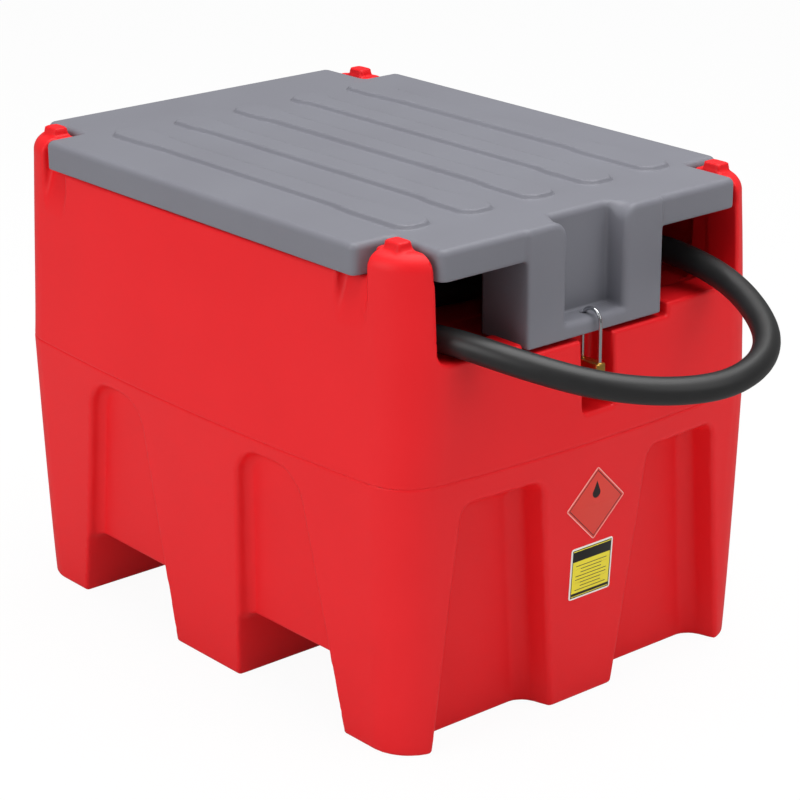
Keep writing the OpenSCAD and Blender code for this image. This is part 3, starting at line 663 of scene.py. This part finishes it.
# Corners of an outline rounded: each replaced by an arc-like run of the quadratic curve through its
# shoulders
def rounding(corners, r, steps=5):
    c = np.array(corners, float)
    before, after = np.roll(c, 1, 0) - c, np.roll(c, -1, 0) - c
    lb, la = np.linalg.norm(before, axis=1, keepdims=True), np.linalg.norm(after, axis=1, keepdims=True)
    a, b = c + before / lb * np.minimum(r, lb * 0.48), c + after / la * np.minimum(r, la * 0.48)
    t = np.linspace(0, 1, steps)[None, :, None]
    return ((1 - t) ** 2 * a[:, None] + 2 * t * (1 - t) * c[:, None] + t ** 2 * b[:, None]).reshape(-1, 2)


# Round wire or pipe along a path in millimetres
def piped(name, path, radius, sides=20, up=(0, 0, 1)):
    return fixNormals(ringPiece(name, tubeRings(np.array(path, float), radius, sides, up)))


def arcPath(centre, radius, start, end, first, second, steps=16):
    a = np.radians(np.linspace(start, end, steps))[:, None]
    return np.array(centre, float) + radius * (np.cos(a) * np.array(first, float) + np.sin(a)
                                               * np.array(second, float))


# Padlock: a bevelled brass block with a keyway plug under it, and a bright bow through the pocket's hole
lock = {"y": -374.5, "width": 36, "thick": 14, "top": 421, "high": 33, "legs": 14, "wire": 2.25,
        "bow": 468.6}
half, depth = lock["width"] / 2, lock["thick"] / 2
block = rounding([(-depth, -half), (depth, -half), (depth, half), (-depth, half)], 4)
bodyPiece = pushed("padlock_block", block, (0, lock["y"], lock["top"] - lock["high"]), (1, 0, 0), (0, 1, 0),
                   lock["high"], 1.4)
collars = [turned("collar", [(3.6, -1), (3.6, 0.5), (3.1, 1), (2.2, 1)],
                  (0, lock["y"] + side * lock["legs"], lock["top"]), (0, 0, 1), 24)
           for side in (-1, 1)]
plug = turned("plug", [(5.4, 0), (5.4, 0.8), (4.8, 1.2)], (0, lock["y"], lock["top"] - lock["high"] + 0.2),
              (0, 0, -1), 28)
dress(joinPieces("brass_padlock", [bodyPiece, plug] + collars), brushedBrass, "lid", "brass", "padlock_body")
legs = lock["legs"]
low, bow = lock["top"] - 6, lock["bow"]
bowPath = np.concatenate([
    np.stack([np.zeros(8), np.full(8, lock["y"] - legs), np.linspace(low, bow - 1, 8)], 1),
    arcPath((0, lock["y"], bow), legs, 180, 0, (0, 1, 0), (0, 0, 1), 28),
    np.stack([np.zeros(8), np.full(8, lock["y"] + legs), np.linspace(bow - 1, low, 8)], 1)])
dress(piped("steel_shackle", bowPath, lock["wire"], 24, (1, 0, 0)), polishedSteel, "lid", "chrome_steel",
      "padlock_shackle")
print("padlock made")

# Pump: finned motor with a terminal box, cast head with bolts, bracket, outlet, suction pipe
pump = {"x": 45, "y": -85, "z": 502, "motor": (42, 120), "head": (46, 34), "foot": (70, 80, 40)}
x, y, z = pump["x"], pump["y"], pump["z"]
motorStart = x - pump["head"][1] - pump["motor"][1]
motorParts = [turned("motor", [(16, 0), (30, 0.6), (36, 3), (38.5, 7), (39, 16), (40.6, 17), (42, 19),
                               (42, 101), (40.6, 103), (40.6, 107),
                               (42, 108.5), (42, 120)], (motorStart, y, z), (1, 0, 0), 96, 24, 3.4,
                     (18, 102)),
              pushed("terminal_box", rounding([(-30, -17), (30, -17), (30, 17), (-30, 17)], 6),
                     (motorStart + 56, y, z + 37), (1, 0, 0), (0, 1, 0), 16, 2)]
motorParts += [turned("box_screw", [(2.6, 0), (2.6, 1.4), (1.8, 1.8)],
                      (motorStart + 56 + i * 23, y + j * 10.5, z + 53), (0, 0, 1), 16)
               for i in (-1, 1) for j in (-1, 1)]
motorParts.append(turned("gland", [(7, 0), (7, 6), (5.5, 8), (5.5, 14), (3, 16)],
                         (motorStart + 26, y, z + 45), (-1, 0, 0), 24))
dress(joinPieces("pump_motor_finned", motorParts), blackMoulded, "tank", "black_plastic", "pump_motor")
headParts = [turned("head", [(44, 0), (46, 1.5), (46, 8), (44.5, 9.5), (40, 10.5), (39, 13), (39, 22),
                             (40.5, 24), (44, 25), (44, 31.5),
                             (42, 34), (24, 34), (22, 33), (19.6, 33)], (x - pump["head"][1], y, z),
                    (1, 0, 0), 72)]
headParts += [turned("bolt", [(4.2, -1.2), (4.2, 1.6), (3.4, 2.4)],
                     (x + 0.2, y + 36 * math.cos(a), z + 36 * math.sin(a)), (1, 0, 0), 6)
              for a in np.radians(np.arange(30, 390, 60))]
dress(joinPieces("pump_head_cast", headParts), paintedCastIron, "tank", "pump_iron", "pump_head")
footR = pump["motor"][0] + 0.1
cradle = [(footR * math.cos(a), 50 + footR * math.sin(a)) for a in np.radians(np.linspace(214, 326, 15))]
footLine = [(-35, 0), (35, 0), (35, 5), (27, 8), (28, 22), (34, 25)] + cradle[::-1] + [(-34, 25), (-28, 22),
                                                                                       (-27, 8), (-35, 5)]
dress(pushed("pump_bracket", footLine, (motorStart + 20, y, 452), (0, 1, 0), (0, 0, 1), 80, 0.8),
      zincPlatedSteel, "tank",
      "zinc_steel", "pump_foot")
outletParts = [turned("nut", [(17.5, 0), (19.5, 1.4), (19.5, 12.6), (17.5, 14)], (x, y, z), (1, 0, 0), 6),
               turned("ferrule", [(16.5, 13.5), (16.5, 16), (16.1, 17), (16.5, 18), (16.5, 21), (16.1, 22),
                                  (16.5, 23), (16.5, 29.5),
                                  (15.6, 30)], (x, y, z), (1, 0, 0), 48)]
dress(joinPieces("outlet_union", outletParts), brushedBrass, "tank", "brass", "outlet_fitting")
pipe = {"x": 28, "y": -9, "radius": 13, "bend": 20}
px, py, pr = pipe["x"], pipe["y"], pipe["bend"]
pipePath = np.concatenate([
    np.stack([np.full(6, px), np.full(6, py), np.linspace(452, z - pr - 1, 6)], 1),
    arcPath((px, py - pr, z - pr), pr, 0, 90, (0, 1, 0), (0, 0, 1), 14),
    np.stack([np.full(4, px), np.linspace(py - pr - 2, y + 42, 4), np.full(4, z)], 1)])
pipeParts = [piped("pipe", pipePath, pipe["radius"], 32, (1, 0, 0)),
             turned("flange", [(20, 0), (20, 4.4), (18.6, 5.6), (14, 6), (13.2, 11)], (px, py, 452),
                    (0, 0, 1), 48),
             turned("union", [(14, 0), (16.4, 1.2), (16.4, 9.8), (14, 11)], (px, y + 44, z), (0, 1, 0), 8)]
dress(joinPieces("suction_elbow", pipeParts), blackMoulded, "tank", "black_plastic", "suction_pipe")
print("pump made")

# Filler cap: fluted skirt with a raised grip across the top
cap = {"at": (-40, 70, 452), "radius": 40, "high": 26}
capParts = [turned("cap", [(39, 0), (40, 0.8), (40, 4.2), (39, 5.4), (36.6, 6), (36.6, 17), (35.4, 19),
                           (32, 20), (0.4, 20.6)],
                   cap["at"], (0, 0, 1), 120, 30, 2.2, (5.8, 18)),
            pushed("grip", rounding([(-30, -5.5), (30, -5.5), (30, 5.5), (-30, 5.5)], 5),
                   (cap["at"][0], cap["at"][1], 470), (0.8, 0.6, 0), (-0.6, 0.8, 0), 8, 2)]
dress(joinPieces("filler_cap_fluted", capParts), blackMoulded, "tank", "black_plastic", "filler_cap")

# Nozzle lying in its cradle: body, lever inside a guard, turned spout
nozzle = {"x": 225, "y": 60, "z": 478}
nx, ny, nz = nozzle["x"], nozzle["y"], nozzle["z"]
nozzleParts = [turned("grip", [(16, 0), (17.5, 1.5), (17.5, 14), (16, 16), (15.2, 20), (15.2, 52), (17, 58),
                               (19, 66), (19, 92),
                               (17, 97), (14, 100), (14, 106), (12.5, 110)], (nx, ny, nz), (0, -1, 0), 48),
               pushed("guard", rounding([(-3, -4), (3, -4), (3, 4), (-3, 4)], 2), (nx - 14, ny - 16, nz),
                      (0, 1, 0), (0, 0, 1), -20, 0.6),
               pushed("lever", rounding([(0, 0), (44, -5), (60, 0), (60, 4), (44, 0), (0, 5)], 2),
                      (nx - 22, ny - 22, nz - 5),
                      (0, -1, 0), (-1, 0, 0), 10, 1),
               pushed("guard_bar", rounding([(0, 0), (70, 0), (70, 4), (0, 4)], 2),
                      (nx - 33, ny - 14, nz - 5), (0, -1, 0), (1, 0, 0), 10, 1),
               pushed("guard_end", rounding([(0, 0), (4, 0), (4, 18), (0, 18)], 1.5),
                      (nx - 32, ny - 80, nz - 5), (0, -1, 0), (1, 0, 0), 10, 1)]
dress(joinPieces("nozzle_grip", nozzleParts), blackMoulded, "tank", "black_plastic", "nozzle_body")
dress(turned("nozzle_tube", [(11.4, 0), (12, 1), (12, 8), (10.4, 10), (10, 14), (10, 103), (9.6, 109),
                             (9, 110), (8.2, 109.6), (8, 60), (0.5, 60)],
             (nx, ny - 110, nz), (0, -1, 0), 40), turnedAluminium, "tank", "aluminium", "nozzle_spout")
seat = [(19.4 * math.cos(a), 26 + 19.4 * math.sin(a)) for a in np.radians(np.linspace(182, 358, 19))]
cradleLine = [(-22, 0), (22, 0), (22, 26)] + seat[::-1] + [(-22, 26)]
dress(pushed("nozzle_rest", cradleLine, (nx, ny - 67, 452), (-1, 0, 0), (0, 0, 1), 24, 0.5), blackMoulded,
      "tank",
      "black_plastic", "nozzle_cradle")
print("filler and nozzle made")

# Hinges are the fixed model's own pieces with their edges broken
for name in ("left_hinge_base", "right_hinge_base", "left_hinge_pin", "right_hinge_pin", "lid_left_leaf",
             "lid_right_leaf"):
    dressNode(name, zincPlatedSteel)
    bevel = nodes[name].modifiers.new("edges", "BEVEL")
    bevel.width, bevel.segments, bevel.limit_method = 0.5 * mm, 2, "ANGLE"


# Arithmetic on two values in a shader
def reckon(tree, operation, a, b=0.0):
    return addNode(tree, "ShaderNodeMath", {"operation": operation}, {0: a, 1: b}).outputs[0]


# 1 where a value lies between two limits, in millimetres
def band(tree, value, low, high):
    return reckon(tree, "MULTIPLY", reckon(tree, "GREATER_THAN", value, low),
                  reckon(tree, "LESS_THAN", value, high))


# Printed vinyl: flat glossy inks laid one over another where their masks are 1
def printedVinyl(name, ground, middle, inks):
    material, tree, place = newMaterial(name)
    axes = addNode(tree, "ShaderNodeSeparateXYZ", links={"Vector": place}).outputs
    u = reckon(tree, "MULTIPLY", axes["X"], 1 / mm)
    v = reckon(tree, "SUBTRACT", reckon(tree, "MULTIPLY", axes["Z"], 1.0023 / mm), middle * 1.0023)
    colour = linear(ground)
    for ink, mask in inks(tree, u, v):
        colour = addNode(tree, "ShaderNodeMix", {"data_type": "RGBA"},
                         {"Factor": mask, 6: colour, 7: linear(ink)}).outputs[2]
    grain = addNode(tree, "ShaderNodeTexNoise", links={"Vector": place, "Scale": 1 / (0.8 * mm)})
    rough = addNode(tree, "ShaderNodeMapRange",
                    links={"Value": grain.outputs["Fac"], "To Min": 0.28, "To Max": 0.36})
    shader = addNode(tree, "ShaderNodeBsdfPrincipled",
                     links={"Base Color": colour, "Roughness": rough.outputs["Result"], "IOR": 1.5})
    closeMaterial(tree, shader.outputs["BSDF"])
    return material


# Diamond: pale edge, thin black line inside it, one plain drop
def diamondInks(tree, u, v):
    reach = reckon(tree, "ADD", reckon(tree, "ABSOLUTE", u), reckon(tree, "ABSOLUTE", v))
    fall = reckon(tree, "SUBTRACT", v, 13.0)
    ball = reckon(tree, "SQRT",
                  reckon(tree, "ADD", reckon(tree, "MULTIPLY", u, u), reckon(tree, "MULTIPLY", fall, fall)))
    taper = reckon(tree, "ADD", reckon(tree, "ABSOLUTE", u),
                   reckon(tree, "MULTIPLY", reckon(tree, "SUBTRACT", v, 28.5), 0.42))
    tip = reckon(tree, "MULTIPLY", reckon(tree, "LESS_THAN", taper, 0.0),
                 reckon(tree, "GREATER_THAN", v, 15.0))
    drop = reckon(tree, "MAXIMUM", reckon(tree, "LESS_THAN", ball, 6.2), tip)
    return [("#F2A59C", reckon(tree, "GREATER_THAN", reach, 44.2)),
            ("#1D1718", band(tree, reach, 40.6, 41.8)), ("#1D1718", drop)]


# Plate: white border, black frame, dark band at its head and foot, plain ruled lines
def plateInks(tree, u, v):
    au, av = reckon(tree, "ABSOLUTE", u), reckon(tree, "ABSOLUTE", v)
    inner = reckon(tree, "MULTIPLY", reckon(tree, "LESS_THAN", au, 29.6),
                   reckon(tree, "LESS_THAN", av, 29.6))
    frameLine = reckon(tree, "SUBTRACT", reckon(tree, "MULTIPLY", reckon(tree, "LESS_THAN", au, 30.8),
                                                reckon(tree, "LESS_THAN", av, 30.8)), inner)
    head = reckon(tree, "MULTIPLY", inner, band(tree, v, 15.5, 28.4))
    foot = reckon(tree, "MULTIPLY", inner, band(tree, v, -28.6, -25.2))
    wave = reckon(tree, "FRACT", reckon(tree, "MULTIPLY", v, 1 / 4.4))
    short = reckon(tree, "LESS_THAN", reckon(tree, "FRACT", reckon(tree, "MULTIPLY", v, 1 / 17.6)), 0.3)
    span = reckon(tree, "LESS_THAN", au,
                  reckon(tree, "SUBTRACT", 24.5, reckon(tree, "MULTIPLY", short, 8.0)))
    rules = reckon(tree, "MULTIPLY", reckon(tree, "MULTIPLY", band(tree, v, -22.8, 12.5), span),
                   reckon(tree, "LESS_THAN", wave, 0.24))
    white = reckon(tree, "SUBTRACT", 1.0, reckon(tree, "MULTIPLY", reckon(tree, "LESS_THAN", au, 30.8),
                                                 reckon(tree, "LESS_THAN", av, 30.8)))
    return [("#ECEBE4", white), ("#1B1A16", frameLine), ("#1B1A16", head), ("#1B1A16", foot),
            ("#55502A", rules)]


# Labels: thin sheets with rounded corners on the leaning front face
lean = math.atan((tank["seam"][1] - tank["base"][1]) / tank["seam"][2])
sheets = {"vinyl_diamond": (251, [(0, -46), (46, 0), (0, 46), (-46, 0)], 3, "#DC3A2C", diamondInks,
                            "hazard_label", "hazard_plate"),
          "vinyl_plate": (167, [(-33, -33), (33, -33), (33, 33), (-33, 33)], 4, "#EBDD2E", plateInks,
                          "notice_label", "notice_plate")}
for name, (middle, corners, r, ground, inks, slotName, node) in sheets.items():
    wall = -(tank["base"][1] + (tank["seam"][1] - tank["base"][1]) * middle / tank["seam"][2])
    rise = np.array((0, -math.sin(lean), math.cos(lean)))
    out = np.array((0, -math.cos(lean), -math.sin(lean)))
    piece = pushed(name, rounding(corners, r, 7), np.array((0, wall, middle)) - 0.4 * out, (1, 0, 0), rise,
                   1.0, 0.15)
    dress(piece, printedVinyl(name + "_print", ground, middle, inks), "tank", slotName, node)
print("labels made")


# Studio: a white floor that keeps a soft shadow, a pale sky and three soft lamps
studio = {"sky": 0.40, "skyGloss": 0.22, "floor": 4.0, "floorSeen": 0.95, "floorGloss": 0.30,
          "top": (0.4, -0.2, 3.2, 106, 3.0), "left": (-3.4, 0.3, 2.0, 48, 2.4),
          "front": (0.6, -3.4, 2.4, 21, 2.4)}


def makeStudio(spec):
    r = spec["floor"] / mm
    floor = makePiece("studio_floor", [(-r, -r, 0), (r, -r, 0), (r, r, 0), (-r, r, 0)], [(0, 1, 2, 3)])
    material, tree, place = newMaterial("studio_white")
    rays = addNode(tree, "ShaderNodeLightPath")
    white = addNode(tree, "ShaderNodeMapRange", links={"Value": rays.outputs["Is Camera Ray"],
                                                      "To Min": spec["floorGloss"], "To Max": 1.0})
    glow = addNode(tree, "ShaderNodeEmission",
                   links={"Color": (1, 1, 1, 1), "Strength": white.outputs["Result"]})
    matt = addNode(tree, "ShaderNodeBsdfDiffuse", links={"Color": (0.9, 0.9, 0.9, 1)})
    seen = addNode(tree, "ShaderNodeMath", {"operation": "MAXIMUM"},
                   {0: rays.outputs["Is Camera Ray"], 1: rays.outputs["Is Glossy Ray"]})
    share = addNode(tree, "ShaderNodeMath", {"operation": "MULTIPLY"},
                    {0: seen.outputs[0], 1: spec["floorSeen"]})
    mix = addNode(tree, "ShaderNodeMixShader",
                  links={0: share.outputs[0], 1: matt.outputs[0], 2: glow.outputs[0]})
    closeMaterial(tree, mix.outputs[0])
    floor.data.materials.append(material)
    world = bpy.data.worlds.new("studio_sky")
    world.use_nodes = True
    scene.world = world
    tree = world.node_tree
    tree.nodes.clear()
    rays = addNode(tree, "ShaderNodeLightPath")
    seen = addNode(tree, "ShaderNodeMath", {"operation": "MAXIMUM"},
                   {0: rays.outputs["Is Camera Ray"], 1: rays.outputs["Is Transmission Ray"]})
    dim = addNode(tree, "ShaderNodeMapRange",
                  links={"Value": rays.outputs["Is Glossy Ray"], "To Min": spec["sky"],
                                                    "To Max": spec["skyGloss"]})
    strength = addNode(tree, "ShaderNodeMapRange",
                       links={"Value": seen.outputs[0], "To Min": dim.outputs["Result"],
                                                         "To Max": 1.0})
    sky = addNode(tree, "ShaderNodeBackground",
                  links={"Color": (1, 1, 1, 1), "Strength": strength.outputs["Result"]})
    addNode(tree, "ShaderNodeOutputWorld", links={"Surface": sky.outputs[0]})
    for name in ("top", "left", "front"):
        x, y, z, power, size = spec[name]
        data = bpy.data.lights.new(name + "_softbox", "AREA")
        data.energy, data.size = power, size
        lamp = bpy.data.objects.new(name + "_softbox", data)
        scene.collection.objects.link(lamp)
        aim = Vector((0, 0, 0.3)) - Vector((x, y, z))
        lamp.matrix_world = Matrix.Translation((x, y, z)) @ aim.to_track_quat("-Z", "Y").to_matrix().to_4x4()


makeStudio(studio)
scene.view_settings.view_transform = "Standard"
